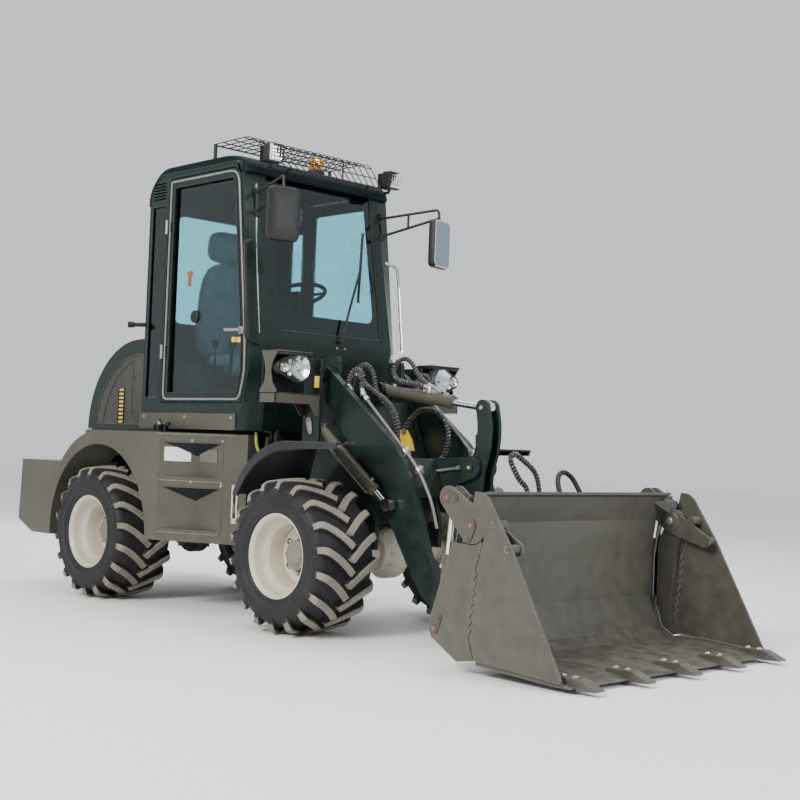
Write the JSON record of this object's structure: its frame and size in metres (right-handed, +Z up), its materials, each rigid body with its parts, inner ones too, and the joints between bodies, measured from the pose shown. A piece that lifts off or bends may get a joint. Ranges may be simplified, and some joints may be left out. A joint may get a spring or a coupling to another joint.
{
  "type": "articulated wheel loader with cab and four-in-one bucket",
  "caption": "Compact articulated wheel loader with a glazed cab, lifting boom and opening four-in-one bucket, in dark green and olive grey.",
  "frame": {"origin": "middle of the machine's footprint, on the ground", "axes": "+X forward to the bucket, +Y to the machine's left, +Z up"},
  "size_m": [4.591, 1.5904, 2.6653],
  "materials": {
    "hull_paint": "satin near-black green",
    "trim_paint": "satin olive grey",
    "rim_paint": "satin cream",
    "chrome": "polished rod",
    "tyre": "dusty black",
    "black_plastic": "matte",
    "glass": "tinted blue green",
    "lamp_glass": "clear",
    "amber": "amber lens",
    "iron": "dark cast",
    "seat_fabric": "woven"
  },
  "bodies": {
    "frame": {"rear_chassis": "hull_paint", "rear_axle": "rim_paint", "engine_block": "iron", "engine_skirt": "hull_paint", "counterweight": "trim_paint", "side_box_left": "trim_paint", "side_box_right": "trim_paint", "rear_fender_left": "trim_paint", "rear_fender_right": "trim_paint", "cab_shell": "hull_paint", "cab_roof": "hull_paint", "cab_windows": "glass", "seat": "seat_fabric", "steering_wheel": "black_plastic", "sill_plates": "trim_paint", "handrails": "hull_paint", "roof_rack": "hull_paint", "beacon": "amber", "work_lights": "black_plastic", "mirrors": "black_plastic", "wiper": "black_plastic"},
    "hood": {"hood": "hull_paint", "hood_side_panels": "black_plastic", "hood_grille": "black_plastic"},
    "door_left": {"door_left": "hull_paint", "door_glass_left": "glass"},
    "door_right": {"door_right": "hull_paint", "door_glass_right": "glass"},
    "front_frame": {"front_chassis": "hull_paint", "front_axle": "rim_paint", "front_fenders": "black_plastic", "headlight_brackets": "trim_paint", "headlights": "lamp_glass", "tower_hoses": "black_plastic"},
    "boom": {"boom": "hull_paint", "boom_pipes": "black_plastic"},
    "crank": {"bell_crank": "hull_paint"},
    "link": {"bucket_link": "hull_paint"},
    "tilt_barrel": {"tilt_barrel": "trim_paint", "tilt_hoses": "black_plastic"},
    "tilt_rod": {"tilt_rod": "chrome"},
    "lift_barrels": {"lift_barrels": "trim_paint"},
    "lift_rods": {"lift_rods": "chrome"},
    "bucket": {"coupler": "trim_paint", "bucket": "trim_paint", "bucket_hoses": "black_plastic"},
    "jaw": {"bucket_jaw": "trim_paint"},
    "jaw_barrels": {"jaw_barrels": "trim_paint"},
    "jaw_rods": {"jaw_rods": "chrome"},
    "steer_barrel": {"steer_barrel": "trim_paint"},
    "steer_rod": {"steer_rod": "chrome"},
    "wheel_rear_right": {"rim_rear_right": "rim_paint", "tyre_rear_right": "tyre"},
    "wheel_rear_left": {"rim_rear_left": "rim_paint", "tyre_rear_left": "tyre"},
    "wheel_front_right": {"rim_front_right": "rim_paint", "tyre_front_right": "tyre"},
    "wheel_front_left": {"rim_front_left": "rim_paint", "tyre_front_left": "tyre"}
  },
  "joints": [
    {"name": "steer", "type": "hinge", "parent": "frame", "child": "front_frame", "pos_m": [-0.5235, 0, 0.625], "axis": [0, 0, 1], "range_deg": [-35, 35]},
    {"name": "lift", "type": "hinge", "parent": "front_frame", "child": "boom", "pos_m": [0.1145, 0, 1.312], "axis": [0, -1, 0], "range_deg": [0, 84]},
    {"name": "tilt", "type": "hinge", "parent": "boom", "child": "bucket", "pos_m": [1.2095, 0, 0.215], "axis": [0, 1, 0], "range_deg": [-40, 115]},
    {"name": "jaw", "type": "hinge", "parent": "bucket", "child": "jaw", "pos_m": [1.6545, 0, 0.631], "axis": [0, -1, 0], "range_deg": [0, 45]},
    {"name": "hood", "type": "hinge", "parent": "frame", "child": "hood", "pos_m": [-1.2785, 0, 1.578], "axis": [0, 1, 0], "range_deg": [0, 50]},
    {"name": "door_right", "type": "hinge", "parent": "frame", "child": "door_right", "pos_m": [-1.0275, -0.553, 1.8], "axis": [0, 0, -1], "range_deg": [0, 90]},
    {"name": "door_left", "type": "hinge", "parent": "frame", "child": "door_left", "pos_m": [-1.0275, 0.553, 1.8], "axis": [0, 0, 1], "range_deg": [0, 90]},
    {"name": "wheel_rear_right", "type": "hinge", "parent": "frame", "child": "wheel_rear_right", "pos_m": [-1.3905, -0.592, 0.39], "axis": [0, 1, 0], "continuous": true},
    {"name": "wheel_rear_left", "type": "hinge", "parent": "frame", "child": "wheel_rear_left", "pos_m": [-1.3905, 0.592, 0.39], "axis": [0, 1, 0], "continuous": true},
    {"name": "wheel_front_right", "type": "hinge", "parent": "front_frame", "child": "wheel_front_right", "pos_m": [0.3425, -0.592, 0.39], "axis": [0, 1, 0], "continuous": true},
    {"name": "wheel_front_left", "type": "hinge", "parent": "front_frame", "child": "wheel_front_left", "pos_m": [0.3425, 0.592, 0.39], "axis": [0, 1, 0], "continuous": true},
    {"name": "crank", "type": "hinge", "parent": "boom", "child": "crank", "pos_m": [0.9895, 0, 0.863], "axis": [0, -1, 0], "range_deg": [-7.7, 21.2]},
    {"name": "link", "type": "hinge", "parent": "crank", "child": "link", "pos_m": [0.9735, 0, 0.403], "axis": [0, -1, 0], "range_deg": [-68.35, 24.1]},
    {"name": "tilt_barrel", "type": "hinge", "parent": "front_frame", "child": "tilt_barrel", "pos_m": [0.2825, 0, 1.256], "axis": [0, -1, 0], "range_deg": [0, 93.04]},
    {"name": "tilt_rod", "type": "slide", "parent": "tilt_barrel", "child": "tilt_rod", "axis": [0.9923, 0, -0.1235], "range_m": [0, 0.2047]},
    {"name": "lift_barrels", "type": "hinge", "parent": "front_frame", "child": "lift_barrels", "pos_m": [0.1125, 0, 1.071], "axis": [0, -1, 0], "range_deg": [0, 82.42]},
    {"name": "lift_rods", "type": "slide", "parent": "lift_barrels", "child": "lift_rods", "axis": [0.8103, 0, -0.586], "range_m": [0, 0.3251]},
    {"name": "jaw_barrels", "type": "hinge", "parent": "bucket", "child": "jaw_barrels", "pos_m": [1.4575, 0, 0.175], "axis": [0, -1, 0], "range_deg": [0, 3.89]},
    {"name": "jaw_rods", "type": "slide", "parent": "jaw_barrels", "child": "jaw_rods", "axis": [0.0926, 0, 0.9957], "range_m": [-0.1414, 0]},
    {"name": "steer_barrel", "type": "hinge", "parent": "frame", "child": "steer_barrel", "pos_m": [-0.8705, 0.2, 0.44], "axis": [0, 0, 1], "range_deg": [-14.58, 14.58]},
    {"name": "steer_rod", "type": "slide", "parent": "steer_barrel", "child": "steer_rod", "axis": [0.9967, -0.0817, 0], "range_m": [-0.1067, 0.1067]}
  ],
  "couplings": [
    {"joint": "crank", "follows": "tilt", "ratio": 0.18},
    {"joint": "link", "follows": "tilt", "ratio": -0.59},
    {"joint": "tilt_barrel", "follows": "lift", "ratio": 1.1016},
    {"joint": "tilt_rod", "follows": "lift", "m_per_rad": 0.13687},
    {"joint": "lift_barrels", "follows": "lift", "ratio": 0.97521},
    {"joint": "lift_rods", "follows": "lift", "m_per_rad": 0.219},
    {"joint": "jaw_barrels", "follows": "jaw", "ratio": 0.075409},
    {"joint": "jaw_rods", "follows": "jaw", "m_per_rad": -0.17498},
    {"joint": "steer_barrel", "follows": "steer", "ratio": 0.40238},
    {"joint": "steer_rod", "follows": "steer", "m_per_rad": -0.16805}
  ]
}
